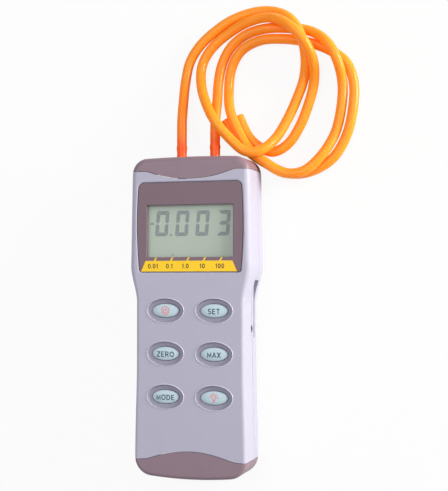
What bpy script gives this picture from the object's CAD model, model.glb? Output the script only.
"""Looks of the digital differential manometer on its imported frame.

New pieces are worked out in millimetres in the meter's own frame: x to its right,
y towards the hose ports and z out of the display, from the surface it lies on.
They are turned into metres when they become meshes.
"""

import logging
import math
from dataclasses import dataclass, field
from enum import Enum
from typing import Callable, Optional, Sequence

import bmesh
import bpy
import numpy as np
from mathutils import Matrix, Vector
from mathutils.geometry import delaunay_2d_cdt

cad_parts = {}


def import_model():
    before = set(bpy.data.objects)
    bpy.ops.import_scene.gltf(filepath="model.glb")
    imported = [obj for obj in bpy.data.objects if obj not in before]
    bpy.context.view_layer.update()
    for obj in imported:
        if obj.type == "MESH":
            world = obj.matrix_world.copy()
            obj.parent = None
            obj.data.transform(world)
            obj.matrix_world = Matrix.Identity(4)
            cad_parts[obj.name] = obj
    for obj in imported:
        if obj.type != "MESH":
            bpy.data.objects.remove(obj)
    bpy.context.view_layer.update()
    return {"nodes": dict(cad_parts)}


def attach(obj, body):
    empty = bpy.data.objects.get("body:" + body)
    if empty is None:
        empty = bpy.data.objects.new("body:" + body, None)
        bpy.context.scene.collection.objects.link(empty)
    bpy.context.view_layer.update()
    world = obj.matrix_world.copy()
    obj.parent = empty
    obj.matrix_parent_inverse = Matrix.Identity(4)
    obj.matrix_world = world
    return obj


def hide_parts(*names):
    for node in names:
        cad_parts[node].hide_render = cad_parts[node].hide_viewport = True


Array = np.ndarray
Colour = tuple[float, float, float]

MILLIMETRE = 0.001
TOP_Y = 85.5
FOOT_Y = -96.5
FACE_Z = 30.0
PARTING_Z = 12.5
GAP = 0.3
INK_LIFT = 0.015
CLOSED = 0.01
QUARTER = math.pi / 2
WHITE = (1.0, 1.0, 1.0)
UP = np.array([0.0, 0.0, 1.0])
METER = "meter"

# Materials that are made already, by finish
MADE: dict[str, bpy.types.Material] = {}

log = logging.getLogger("manometer")


def add_object(name: str, data: bpy.types.ID) -> bpy.types.Object:
    """Add an object to the scene.

    Args:
        name: The object's name.
        data: Its mesh, camera or light.

    Returns:
        The object.
    """
    obj = bpy.data.objects.new(name, data)
    bpy.context.scene.collection.objects.link(obj)
    return obj


def srgb(red: float, green: float, blue: float) -> Colour:
    """Turn a colour of 0 to 255 as seen on screen into linear values.

    Args:
        red: Red on screen.
        green: Green on screen.
        blue: Blue on screen.

    Returns:
        The three linear values from 0 to 1.
    """
    seen = np.array([red, green, blue]) / 255.0
    linear = np.where(seen <= 0.04045, seen / 12.92, ((seen + 0.055) / 1.055) ** 2.4)
    return tuple(float(value) for value in linear)


def smooth_step(value: Array) -> Array:
    """Ease from 0 to 1 with level ends: three squares less two cubes."""
    value = np.clip(value, 0.0, 1.0)
    return value * value * (3 - 2 * value)


def path_normals(path: Array, closed: bool) -> Array:
    """Normals of a flat path, to the right of its direction of travel.

    Each tangent is the difference of a point's two neighbours, scaled to length
    one, and the normal is that tangent turned by a quarter to the right.

    Args:
        path: Points of shape (n, 2).
        closed: Whether the last point joins the first.

    Returns:
        Unit normals of shape (n, 2).
    """
    if closed:
        tangent = np.roll(path, -1, axis=0) - np.roll(path, 1, axis=0)
    else:
        tangent = np.gradient(path, axis=0)
    tangent /= np.linalg.norm(tangent, axis=1, keepdims=True)
    return np.stack([tangent[:, 1], -tangent[:, 0]], axis=1)


def rounded_loop(corners: Array, radii: Sequence[float], steps: int = 8) -> Array:
    """A closed polygon with rounded corners.

    Each corner is replaced by an arc whose centre lies on the corner's bisector
    at radius over the sine of half the corner's angle.

    Args:
        corners: Corner points of shape (n, 2), anticlockwise.
        radii: One radius for each corner, 0 for a plain point.
        steps: Steps on each arc.

    Returns:
        Points of shape (m, 2).
    """
    before = np.roll(corners, 1, axis=0) - corners
    after = np.roll(corners, -1, axis=0) - corners
    before /= np.linalg.norm(before, axis=1, keepdims=True)
    after /= np.linalg.norm(after, axis=1, keepdims=True)
    pieces = []
    for here, back, ahead, radius in zip(corners, before, after, radii):
        if radius <= 0:
            pieces.append(here[None, :])
            continue
        half = math.acos(float(np.clip(back @ ahead, -1, 1))) / 2
        bisector = (back + ahead) / np.linalg.norm(back + ahead)
        centre = here + bisector * radius / math.sin(half)
        first = here + back * radius / math.tan(half) - centre
        last = here + ahead * radius / math.tan(half) - centre
        start = math.atan2(first[1], first[0])
        sweep = (math.atan2(last[1], last[0]) - start + math.pi) % (2 * math.pi) - math.pi
        angle = start + sweep * np.linspace(0, 1, steps + 1)
        pieces.append(centre + radius * np.stack([np.cos(angle), np.sin(angle)], axis=1))
    return np.concatenate(pieces)


def box_corners(left: float, right: float, low: float, high: float) -> Array:
    """The corners of an upright rectangle, anticlockwise, of shape (4, 2)."""
    return np.array([[left, low], [right, low], [right, high], [left, high]])


def inside_loop(points: Array, loop: Array) -> Array:
    """Which points lie in a closed loop, by counting the edges to their right.

    Args:
        points: Points of shape (n, 2).
        loop: The loop's points of shape (m, 2).

    Returns:
        True for each point inside, of shape (n,).
    """
    x, y = points[:, 0:1], points[:, 1:2]
    ax, ay = loop[None, :, 0], loop[None, :, 1]
    bx, by = np.roll(loop, -1, axis=0)[None, :, 0], np.roll(loop, -1, axis=0)[None, :, 1]
    crosses = (ay > y) != (by > y)
    rise = np.where(crosses, by - ay, 1.0)
    reach = ax + (y - ay) / rise * (bx - ax)
    return (np.count_nonzero(crosses & (x < reach), axis=1) % 2) == 1


def quarter_round(radius: float, z_flat: float, up: int, steps: int) -> Array:
    """Insets and heights of a rounded edge, from the side to the flat face.

    Inset is radius times one less the cosine and height approaches the face as
    radius times one less the sine, for an angle from 0 to a quarter turn.

    Args:
        radius: Rounding in millimetres.
        z_flat: Height of the flat face.
        up: 1 where the face looks up, -1 where it looks down.
        steps: Steps round the edge.

    Returns:
        Rows of inset and height, of shape (steps + 1, 2).
    """
    angle = np.linspace(0, math.pi / 2, steps + 1)
    return np.stack([radius * (1 - np.cos(angle)),
                     z_flat - up * radius * (1 - np.sin(angle))], axis=1)


class Skin:
    """Patches gathered in millimetres, which become one welded mesh.

    Attributes:
        weld: Points nearer than this, in metres, become one.
    """

    weld = 2e-6

    def __init__(self) -> None:
        """Start with no patches."""
        self.points: list[Array] = []
        self.faces: list[list[int]] = []
        self.count = 0

    def add(self, points: Array, faces: Array) -> None:
        """Add a patch.

        Args:
            points: The patch's points of shape (n, 3).
            faces: Its faces, counted from its own first point.
        """
        self.points.append(points)
        self.faces += (faces + self.count).tolist()
        self.count += len(points)

    def grid(self, surface: Array, outward: Array, closed: bool = False,
             keep: Optional[Array] = None) -> None:
        """Add a surface given on a grid of two parameters.

        Args:
            surface: Points of shape (n, m, 3).
            outward: Rough outward directions that broadcast to the surface.
            closed: Whether the first parameter comes round to its start.
            keep: Which of the grid's faces stay, of shape (n - 1, m - 1).
        """
        if closed:
            surface = np.concatenate([surface, surface[:1]])
            outward = np.broadcast_to(outward, (surface.shape[0] - 1, *surface.shape[1:]))
            outward = np.concatenate([outward, outward[:1]])
        outward = np.broadcast_to(outward, surface.shape)
        n, m = surface.shape[:2]
        index = np.arange(n * m).reshape(n, m)
        quads = np.stack([index[:-1, :-1], index[1:, :-1], index[1:, 1:], index[:-1, 1:]],
                         axis=-1)
        across = np.cross(surface[1:, 1:] - surface[:-1, :-1],
                          surface[:-1, 1:] - surface[1:, :-1])
        if np.sum(across * outward[:-1, :-1]) < 0:
            quads = quads[..., ::-1]
        quads = quads.reshape(-1, 4)
        if keep is not None:
            quads = quads[keep.reshape(-1)]
        self.add(surface.reshape(-1, 3), quads)

    def flat(self, loop: Array, holes: Sequence[Array], z: float, up: int,
             margin: float = 0.12) -> None:
        """Add a flat face with holes, and a narrow band along each of its edges.

        The bands keep the shading of rounded edges off the flat face.

        Args:
            loop: Outer boundary, anticlockwise, of shape (n, 2).
            holes: Boundaries of holes, anticlockwise.
            z: The face's height.
            up: 1 where the face looks up, -1 where it looks down.
            margin: Width of the bands.
        """
        inner = [loop - path_normals(loop, True) * margin]
        inner += [hole + path_normals(hole, True) * margin for hole in holes]
        facing = np.array([0.0, 0.0, float(up)])
        for edge, support in zip([loop, *holes], inner):
            band = np.stack([edge, support], axis=1)
            band = np.concatenate([band, np.full((*band.shape[:2], 1), z)], axis=2)
            self.grid(band, facing, closed=True)
        sizes = np.cumsum([0] + [len(ring) for ring in inner])
        edges = [(int(start + i), int(start + (i + 1) % (stop - start)))
                 for start, stop in zip(sizes, sizes[1:]) for i in range(stop - start)]
        points, _, triangles, *_ = delaunay_2d_cdt(
            [Vector(point) for point in np.concatenate(inner)], edges, [], 1, 1e-5)
        flat = np.array([tuple(point) for point in points])
        triangles = np.array([list(triangle) for triangle in triangles])
        centres = flat[triangles].mean(axis=1)
        stays = inside_loop(centres, inner[0])
        for ring in inner[1:]:
            stays &= ~inside_loop(centres, ring)
        triangles = triangles[stays]
        a, b, c = (flat[triangles[:, k]] for k in range(3))
        turn = np.cross(b - a, c - a)
        wrong = (turn * up) < 0
        triangles[wrong] = triangles[wrong][:, ::-1]
        self.add(np.column_stack([flat, np.full(len(flat), z)]), triangles)

    def ring(self, loop: Array, profile: Array, outward: Array,
             closed: bool = True) -> None:
        """Carry a profile of offsets and heights round a flat loop.

        Each point is the loop's point moved along its normal by the profile's
        offset, at the profile's height.

        Args:
            loop: The loop's points of shape (n, 2), anticlockwise.
            profile: Rows of outward offset and height.
            outward: Rough outward direction: along the normal, then up.
            closed: Whether the loop is closed.
        """
        normal = path_normals(loop, closed)
        flat = loop[:, None, :] + normal[:, None, :] * profile[None, :, 0:1]
        height = np.broadcast_to(profile[None, :, 1:2], (*flat.shape[:2], 1))
        side = np.broadcast_to(normal[:, None, :] * outward[0], flat.shape)
        lift = np.full((*flat.shape[:2], 1), outward[1])
        self.grid(np.concatenate([flat, height], axis=2),
                  np.concatenate([side, lift], axis=2), closed)

    def build(self, name: str, finish: "Finish", slot: str, body: str = METER,
              crease: float = 35.0) -> bpy.types.Object:
        """Weld the patches into one object that rides on a body.

        Args:
            name: The object's name.
            finish: Its finish.
            slot: The record's material slot.
            body: The body that it rides on.
            crease: Edges sharper than this angle in degrees stay sharp.

        Returns:
            The new object.
        """
        mesh = bpy.data.meshes.new(name)
        points = np.concatenate(self.points) * MILLIMETRE
        mesh.from_pydata(points.tolist(), [], self.faces)
        shell = bmesh.new()
        shell.from_mesh(mesh)
        bmesh.ops.remove_doubles(shell, verts=shell.verts, dist=self.weld)
        bmesh.ops.dissolve_degenerate(shell, edges=shell.edges, dist=self.weld / 2)
        shell.to_mesh(mesh)
        shell.free()
        mesh.shade_smooth()
        mesh.set_sharp_from_angle(angle=math.radians(crease))
        obj = add_object(name, mesh)
        mesh.materials.append(finish.material())
        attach(obj, body)
        return obj


# Finishes

class Nodes:
    """A material's node tree with short ways to add and join nodes."""

    def __init__(self, name: str) -> None:
        """Start a material with a Principled shader.

        Args:
            name: The material's name.
        """
        self.material = bpy.data.materials.new(name)
        self.material.use_nodes = True
        self.tree = self.material.node_tree
        self.shader = self.tree.nodes["Principled BSDF"]

    def add(self, kind: str, **values: object) -> bpy.types.Node:
        """Add a node and set its inputs.

        Args:
            kind: The node's type.
            values: Input values by name, with spaces as underscores.

        Returns:
            The node.
        """
        node = self.tree.nodes.new(kind)
        for key, value in values.items():
            node.inputs[key.replace("_", " ")].default_value = value
        return node

    def join(self, source: bpy.types.NodeSocket, target: bpy.types.NodeSocket) -> None:
        """Link two sockets."""
        self.tree.links.new(source, target)

    def place(self) -> bpy.types.NodeSocket:
        """The surface point in the object's own coordinates."""
        return self.add("ShaderNodeTexCoord").outputs["Object"]

    def noise(self, scale: float) -> bpy.types.NodeSocket:
        """A noise over the surface.

        Args:
            scale: Features to the metre.

        Returns:
            The noise's factor.
        """
        node = self.add("ShaderNodeTexNoise", Scale=scale, Detail=NOISE_DETAIL)
        self.join(self.place(), node.inputs["Vector"])
        return node.outputs["Fac"]

    def span(self, factor: bpy.types.NodeSocket, low: float,
             high: float) -> bpy.types.NodeSocket:
        """Map a noise's factor onto two values.

        Args:
            factor: The factor.
            low: Value at its low end.
            high: Value at its high end.

        Returns:
            The mapped value.
        """
        node = self.add("ShaderNodeMapRange", From_Min=NOISE_ENDS[0],
                        From_Max=NOISE_ENDS[1], To_Min=low, To_Max=high)
        self.join(factor, node.inputs["Value"])
        return node.outputs["Result"]

    def blend(self, factor: bpy.types.NodeSocket,
              *stops: tuple[float, Colour]) -> bpy.types.NodeSocket:
        """Blend colours by a factor.

        Args:
            factor: The factor.
            stops: Where each colour is reached, and the colour.

        Returns:
            The blended colour.
        """
        node = self.tree.nodes.new("ShaderNodeValToRGB")
        elements = node.color_ramp.elements
        for order, (position, colour) in enumerate(stops):
            if order >= len(elements):
                elements.new(position)
            elements[order].position = position
            elements[order].color = (*colour, 1.0)
        self.join(factor, node.inputs["Fac"])
        return node.outputs["Color"]

    def bump(self, height: bpy.types.NodeSocket, strength: float, depth: float) -> None:
        """Press a height pattern into the surface.

        Args:
            height: The pattern.
            strength: Its weight from 0 to 1.
            depth: Its depth in metres.
        """
        node = self.add("ShaderNodeBump", Strength=strength, Distance=depth)
        self.join(height, node.inputs["Height"])
        self.join(node.outputs["Normal"], self.shader.inputs["Normal"])


def shade(colour: Colour, factor: float) -> Colour:
    """A colour made darker or lighter by a factor."""
    return tuple(min(value * factor, 1.0) for value in colour)


# What all finishes share: features to the metre, shares, and reaches in metres
NOISE_ENDS = (0.3, 0.7)
NOISE_DETAIL = 3.0
CLOUD_SCALE = 90.0
GLOSS_SCALE = 420.0
GLOSS_STRAY = 0.1
GRAIN_STRENGTH = 0.35
COAT_ROUGHNESS = 0.12
SCATTER_REACH = (0.004, 0.0015, 0.0006)


@dataclass(frozen=True)
class Finish:
    """A moulded surface: mottled colour, fine grain and uneven gloss.

    Attributes:
        name: The material's name.
        colour: Linear base colour.
        roughness: Middle roughness.
        grain: Features of the grain to the metre.
        relief: Depth of the grain in metres.
        mottle: How far the colour strays, as a share.
        metallic: 1 for metal.
        coat: Weight of a clear coat.
        glow: Weight of light scattered under the surface.
        alpha: Opacity.
        shine: Level of the plain reflection.
        glare: Light given off by a fluorescent pigment.
    """

    name: str
    colour: Colour
    roughness: float = 0.5
    grain: float = 2600.0
    relief: float = 0.00002
    mottle: float = 0.03
    metallic: float = 0.0
    coat: float = 0.0
    glow: float = 0.0
    alpha: float = 1.0
    shine: float = 0.5
    glare: float = 0.0

    def material(self) -> bpy.types.Material:
        """The finish's material, made once.

        Returns:
            The material.
        """
        if self.name not in MADE:
            MADE[self.name] = self.make().material
        return MADE[self.name]

    def make(self) -> Nodes:
        """Build the node tree.

        Returns:
            The material's nodes, for finishes that add to them.
        """
        nodes = Nodes(self.name + "_look")
        shader = nodes.shader
        values = {"Metallic": self.metallic, "Coat Weight": self.coat,
                  "Coat Roughness": COAT_ROUGHNESS, "Alpha": self.alpha,
                  "Specular IOR Level": self.shine, "Emission Color": (*self.colour, 1.0),
                  "Emission Strength": self.glare}
        if self.glow:
            values |= {"Subsurface Weight": self.glow, "Subsurface Radius": SCATTER_REACH,
                       "Subsurface Scale": 1.0}
        for name, value in values.items():
            shader.inputs[name].default_value = value
        ends = (shade(self.colour, 1 - self.mottle), shade(self.colour, 1 + self.mottle))
        cloud = nodes.blend(nodes.noise(CLOUD_SCALE), *zip(NOISE_ENDS, ends))
        nodes.join(cloud, shader.inputs["Base Color"])
        gloss = nodes.noise(GLOSS_SCALE)
        nodes.join(nodes.span(gloss, self.roughness * (1 - GLOSS_STRAY),
                              self.roughness * (1 + GLOSS_STRAY)), shader.inputs["Roughness"])
        nodes.bump(nodes.noise(self.grain), GRAIN_STRENGTH, self.relief)
        nodes.material.diffuse_color = (*self.colour, 1.0)
        return nodes


@dataclass(frozen=True)
class HoseFinish(Finish):
    """Glossy rubber hose, deeper in colour where it is stretched on the barb.

    Attributes:
        deep: Colour over the barb.
        turn: Shares of the hose's length where the colour starts to turn, where
            most of the turn is done, and where it is plain.
        turned: How far the colour has turned at the middle share.
    """

    deep: Colour = srgb(250, 84, 28)
    turn: tuple[float, float, float] = (0.016, 0.032, 0.16)
    turned: float = 0.65

    def make(self) -> Nodes:
        """Build the tree: the colour goes from deep to plain along the hose's UV.

        Returns:
            The material's nodes.
        """
        nodes = super().make()
        uv = nodes.add("ShaderNodeUVMap")
        uv.uv_map = "along"
        split = nodes.add("ShaderNodeSeparateXYZ")
        nodes.join(uv.outputs["UV"], split.inputs["Vector"])
        middle = tuple((1 - self.turned) * deep + self.turned * plain
                       for deep, plain in zip(self.deep, self.colour))
        along = nodes.blend(split.outputs["X"],
                            *zip(self.turn, (self.deep, middle, self.colour)))
        nodes.join(along, nodes.shader.inputs["Base Color"])
        return nodes


CASE = Finish("case_plastic", srgb(180, 178, 198), 0.46, 3000, 0.00002, 0.012, shine=0.35)
LIP = Finish("lip_plastic", srgb(194, 191, 210), 0.4, 3000, 0.00001, 0.012)
DISH = Finish("dish_plastic", srgb(150, 148, 168), 0.5, 3000, 0.00002, 0.012, shine=0.3)
POCKET = Finish("pocket_plastic", srgb(146, 141, 163), 0.6, 2600, 0.00002, 0.02)
CAP = Finish("cap_plastic", srgb(136, 114, 127), 0.4, 2400, 0.000025, 0.02, shine=0.5)
BEZEL = Finish("bezel_plastic", srgb(122, 101, 113), 0.42, 3400, 0.000012, 0.012, shine=0.3)
STRIP = Finish("strip_yellow", srgb(255, 208, 35), 0.4, 3000, 0.000005, 0.01, shine=0.25)
STRIP_INK = Finish("strip_ink", srgb(104, 74, 52), 0.5, 3000, 0.000002, 0.01, shine=0.2)
KEY = Finish("key_rubber", srgb(166, 174, 188), 0.55, 2600, 0.000015, 0.015, shine=0.3)
KEY_PRINT = Finish("key_print", srgb(188, 210, 222), 0.42, 2600, 0.000006, 0.01, shine=0.3)
KEY_INK = Finish("key_ink", srgb(52, 70, 88), 0.5, 2600, 0.000002, 0.01, shine=0.2)
ICON_INK = Finish("icon_ink", srgb(240, 118, 124), 0.5, 2600, 0.000002, 0.01, shine=0.2)
LCD = Finish("display_glass", srgb(174, 186, 174), 0.35, 5200, 0.000002, 0.012, shine=0.2)
LCD_DARK = Finish("display_digits", srgb(122, 134, 136), 0.4, 5200, 0.000002, 0.02, shine=0.2)
PANE = Finish("clear_acrylic", srgb(240, 246, 244), 0.06, 300, 0.000002, 0.002, alpha=0.05)
HOSE = HoseFinish("hose_orange", srgb(255, 148, 36), 0.32, 900, 0.00001, 0.02,
                  coat=0.15, glow=0.35, shine=0.25, glare=0.1)
BOARD = Finish("board_green", srgb(38, 92, 58), 0.4, 1400, 0.00002, 0.06, coat=0.3)
DIFFUSER = Finish("white_diffuser", srgb(226, 230, 224), 0.45, 1800, 0.00001, 0.01)
BLACK_RUBBER = Finish("black_rubber", srgb(44, 44, 46), 0.75, 1900, 0.00003, 0.05)
BLACK_PLASTIC = Finish("black_plastic", srgb(40, 40, 44), 0.45, 2200, 0.00002, 0.04)
BRASS = Finish("brass", srgb(214, 178, 104), 0.3, 5200, 0.000008, 0.04, metallic=1.0)
STEEL = Finish("steel", srgb(196, 198, 202), 0.32, 5200, 0.000006, 0.04, metallic=1.0)
WRAP = Finish("battery_wrap", srgb(58, 64, 74), 0.3, 1200, 0.000008, 0.04, metallic=0.4)
SILICONE = Finish("clear_silicone", srgb(222, 220, 210), 0.4, 900, 0.00002, 0.02, glow=0.3)

CAD_FINISHES = {
    PANE: ["display_lens"],
    LCD: ["lcd_panel"],
    DIFFUSER: ["backlight_panel"],
    BLACK_RUBBER: ["upper_contact_strip", "lower_contact_strip", "keypad_sheet"],
    BOARD: ["main_board"],
    BLACK_PLASTIC: ["buzzer", "pressure_sensor", "data_socket", "power_socket",
                    "battery_snap"],
    SILICONE: ["left_sensor_tube", "right_sensor_tube"],
    BRASS: ["left_port_barb", "right_port_barb"],
    WRAP: ["battery"],
    CASE: ["battery_door"],
    STEEL: ["battery_door_screw", "case_screw_1", "case_screw_2", "case_screw_3",
            "case_screw_4", "board_screw_1", "board_screw_2"],
}


# Housing

class End(Enum):
    """The two ends of the housing, with the direction that each faces."""

    PORTS = 1
    FOOT = -1


@dataclass(frozen=True)
class Corner:
    """The circle of a corner seen from the front, in millimetres.

    Attributes:
        x: Its centre across.
        y: Its centre along.
        radius: Its radius.
        crown: How far the end face bows out between the corners.
        lean: Slope angle where the circle meets the end face.
    """

    x: float
    y: float
    radius: float
    crown: float
    lean: float


@dataclass(frozen=True)
class HousingPlan:
    """The housing seen from the front, in millimetres.

    Attributes:
        head: Widest width, at the display.
        top: Width at the port end.
        waist: Width of the grip.
        foot: Width at the foot.
        taper_start: Height over the foot where the grip starts to narrow.
        waist_height: Height over the foot where the grip is narrowest.
        shoulder_start: Height over the foot where the shoulder starts.
        shoulder_length: Length of the shoulder.
        round_start: Height over the foot where the front rounding starts to grow.
        round_length: Length over which it grows.
        grip_round: Rounding of the front edges at the grip.
        head_round: Rounding of the front edges at the head.
        rear_round: Rounding of the rear edges.
        top_corner: Radius of the corners at the ports.
        foot_corner: Radius of the corners at the foot.
        top_crown: How far the end face at the ports bows out.
        foot_crown: How far the end face at the foot bows out.
        seam_reach: Half the width over which the seams bow.
        top_seam_depth: Distance of the upper seam's ends from the top.
        top_seam_sag: How far the upper seam bows towards the foot.
        top_seam_soft: Softness of the bow's ends.
        foot_seam_depth: Distance of the lower seam's ends from the foot.
        foot_seam_sag: How far the lower seam bows towards the ports.
        foot_seam_soft: Softness of the bow's ends.
        seam_wall: How far the skin turns in beside a seam.
    """

    head: float = 72.0
    top: float = 70.2
    waist: float = 64.0
    foot: float = 66.0
    taper_start: float = 11.6
    waist_height: float = 66.5
    shoulder_start: float = 99.0
    shoulder_length: float = 21.5
    round_start: float = 96.0
    round_length: float = 30.0
    grip_round: float = 2.0
    head_round: float = 3.4
    rear_round: float = 4.5
    top_corner: float = 9.0
    foot_corner: float = 10.5
    top_crown: float = 0.5
    foot_crown: float = 1.1
    seam_reach: float = 25.5
    top_seam_depth: float = 8.0
    top_seam_sag: float = 4.9
    top_seam_soft: float = 0.10
    foot_seam_depth: float = 10.4
    foot_seam_sag: float = 5.4
    foot_seam_soft: float = 0.22
    seam_wall: float = 1.6

    def half_width(self, y: Array) -> Array:
        """Half the width at places along the housing.

        The grip tapers by an eased blend from the foot to the waist, the
        shoulder is an eased blend from grip to head, and the head tapers evenly.
        Beyond a corner's centre the circle of that corner takes over.

        Args:
            y: Places along the housing.

        Returns:
            Half widths, of the same shape.
        """
        height = y - FOOT_Y
        shoulder_end = self.shoulder_start + self.shoulder_length
        to_waist = smooth_step((height - self.taper_start)
                               / (self.waist_height - self.taper_start))
        shoulder = smooth_step((height - self.shoulder_start) / self.shoulder_length)
        taper = np.clip((height - shoulder_end)
                        / (TOP_Y - FOOT_Y - self.top_corner - shoulder_end), 0, 1)
        lower = self.foot + (self.waist - self.foot) * to_waist
        upper = self.head + (self.top - self.head) * taper
        half = (lower + (upper - lower) * shoulder) / 2
        for end in End:
            corner = self.corner(end)
            beyond = np.clip((y - corner.y) * end.value, 0, corner.radius)
            half = half - corner.radius + np.sqrt(corner.radius ** 2 - beyond ** 2)
        return half

    def seam(self, end: End, x: Array, shift: float) -> Array:
        """Height of a cap's seam across the housing.

        The seam is level at its ends and bows across the middle like a
        parabola, whose meeting with the level ends is softened.

        Args:
            end: Which cap.
            x: Places across.
            shift: Distance to move the seam towards the ports.

        Returns:
            The seam's y, of the same shape as x.
        """
        bow = 1 - (x / self.seam_reach) ** 2
        soft = self.top_seam_soft if end is End.PORTS else self.foot_seam_soft
        eased = (bow + np.sqrt(bow ** 2 + soft ** 2)) / (1 + math.sqrt(1 + soft ** 2))
        if end is End.PORTS:
            return TOP_Y - self.top_seam_depth - self.top_seam_sag * eased + shift
        return FOOT_Y + self.foot_seam_depth + self.foot_seam_sag * eased + shift

    def side(self, y: Array) -> Array:
        """The right side's points for places along the housing."""
        return np.stack([self.half_width(y), y], axis=1)

    def front_round(self, y: Array) -> Array:
        """Rounding of the front edges, an eased blend from grip to head."""
        share = smooth_step((y - FOOT_Y - self.round_start) / self.round_length)
        return self.grip_round + (self.head_round - self.grip_round) * share

    def corner(self, end: End) -> Corner:
        """The circle of one end's corners, which meets the crowned end face.

        The end face is a shallow parabola, and the circle touches it where both
        have one slope, found by repeated substitution.

        Args:
            end: Which end.

        Returns:
            The right corner's circle.
        """
        ports = end is End.PORTS
        radius = self.top_corner if ports else self.foot_corner
        crown = self.top_crown if ports else self.foot_crown
        reach = (self.top if ports else self.foot) / 2 - radius
        lean = 0.0
        for _ in range(12):
            touch = reach + radius * math.sin(lean)
            lean = math.atan(2 * crown * touch / reach ** 2)
        y = (TOP_Y if ports else FOOT_Y) - end.value * (
            crown * (touch / reach) ** 2 + radius * math.cos(lean))
        return Corner(reach, y, radius, crown, lean)

    def end_path(self, end: End, seam_y: float, steps: int = 16,
                 points: int = 12) -> Array:
        """The outline of one end, anticlockwise from seam to seam.

        Args:
            end: Which end.
            seam_y: Where the outline leaves the seam.
            steps: Steps on each corner.
            points: Points on each half of the end face.

        Returns:
            Points of shape (n, 2).
        """
        corner = self.corner(end)
        first = math.asin((seam_y - corner.y) * end.value / corner.radius)
        angle = np.linspace(first, math.pi / 2 - corner.lean, steps + 1)
        arc = np.stack([corner.x + corner.radius * np.cos(angle),
                        corner.y + end.value * corner.radius * np.sin(angle)], axis=1)
        across = np.linspace(arc[-1, 0], 0, points)[1:]
        limit = TOP_Y if end is End.PORTS else FOOT_Y
        face = np.stack([across, limit - end.value * corner.crown * (across / corner.x) ** 2],
                        axis=1)
        half = np.concatenate([arc, face])
        path = np.concatenate([half, half[-2::-1] * np.array([-1.0, 1.0])])
        return path if end is End.PORTS else path[::-1]


@dataclass
class SidePocket:
    """The flat-floored pocket in the right side, with two socket holes.

    Attributes:
        floor_x: Where the floor lies.
        low_y: Its end towards the foot.
        high_y: Its end towards the ports.
        low_z: Its rear edge.
        high_z: Its front edge.
        holes: Each socket hole's y and radius.
        hole_depth: How deep the socket holes are lined.
        hole_points: Points on each half circle of a hole.
    """

    floor_x: float = 31.6
    low_y: float = -17.5
    high_y: float = 15.5
    low_z: float = 8.0
    high_z: float = 16.0
    holes: tuple[tuple[float, float], ...] = ((9.0, 1.5), (-12.5, 2.2))
    hole_depth: float = 2.6
    hole_points: int = 15

    def line(self, skin: Skin, plan: HousingPlan, ys: Array, part_z: float,
             edge_z: float) -> None:
        """Line the half of the pocket between the parting line and one edge.

        Walls join the case's side to the floor, and the floor is cut by half
        circles for the sockets, each with a wall going in.

        Args:
            skin: The case half that the lining belongs to.
            plan: The housing's plan.
            ys: The case's stations within the pocket.
            part_z: Height of the case half's parting face.
            edge_z: Height of the pocket's edge.
        """
        up = 1.0 if edge_z > part_z else -1.0
        side = plan.side(ys)
        wall = np.zeros((len(ys), 2, 3))
        wall[:, 0, 0], wall[:, 1, 0] = side[:, 0], self.floor_x
        wall[:, :, 1] = ys[:, None]
        wall[:, :, 2] = edge_z
        skin.grid(wall, -up * UP)
        for y, facing in ((ys[0], 1.0), (ys[-1], -1.0)):
            x = float(plan.half_width(np.array([y]))[0])
            end = np.array([[[x, y, part_z], [x, y, edge_z]],
                            [[self.floor_x, y, part_z], [self.floor_x, y, edge_z]]])
            skin.grid(end, np.array([0.0, facing, 0.0]))
        lip = [np.array([[self.low_y, part_z]])]
        for y, radius in sorted(self.holes):
            tilt = math.asin((part_z - PARTING_Z) * up / radius)
            angle = np.linspace(math.pi - tilt, tilt, self.hole_points)
            arc = np.stack([y + radius * np.cos(angle),
                            PARTING_Z + up * radius * np.sin(angle)], axis=1)
            lip.append(arc)
            bore = np.zeros((self.hole_points, 2, 3))
            bore[:, :, 0] = self.floor_x - np.array([0.0, self.hole_depth])
            bore[:, :, 1:] = arc[:, None, :]
            inwards = np.zeros(bore.shape)
            inwards[:, :, 1:] = np.array([y, PARTING_Z]) - arc[:, None, :]
            skin.grid(bore, inwards)
        lip.append(np.array([[self.high_y, part_z]]))
        low = np.concatenate(lip)
        high = np.stack([np.clip(low[:, 0], self.low_y, self.high_y),
                         np.full(len(low), edge_z)], axis=1)
        floor = np.zeros((len(low), 2, 3))
        floor[:, :, 0] = self.floor_x
        floor[:, 0, 1:], floor[:, 1, 1:] = low, high
        skin.grid(floor, np.array([1.0, 0.0, 0.0]))


def seam_wall(skin: Skin, edge: Array, normal: Array, depth: float,
              outward: Array) -> None:
    """Turn an edge of the skin inwards, as the wall beside a seam.

    Args:
        skin: The skin to add to.
        edge: The edge's points of shape (n, 3).
        normal: The skin's outward normals there.
        depth: How far the wall goes in.
        outward: Direction that the wall faces, across the seam.
    """
    skin.grid(np.stack([edge, edge - normal * depth], axis=1), outward)


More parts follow.
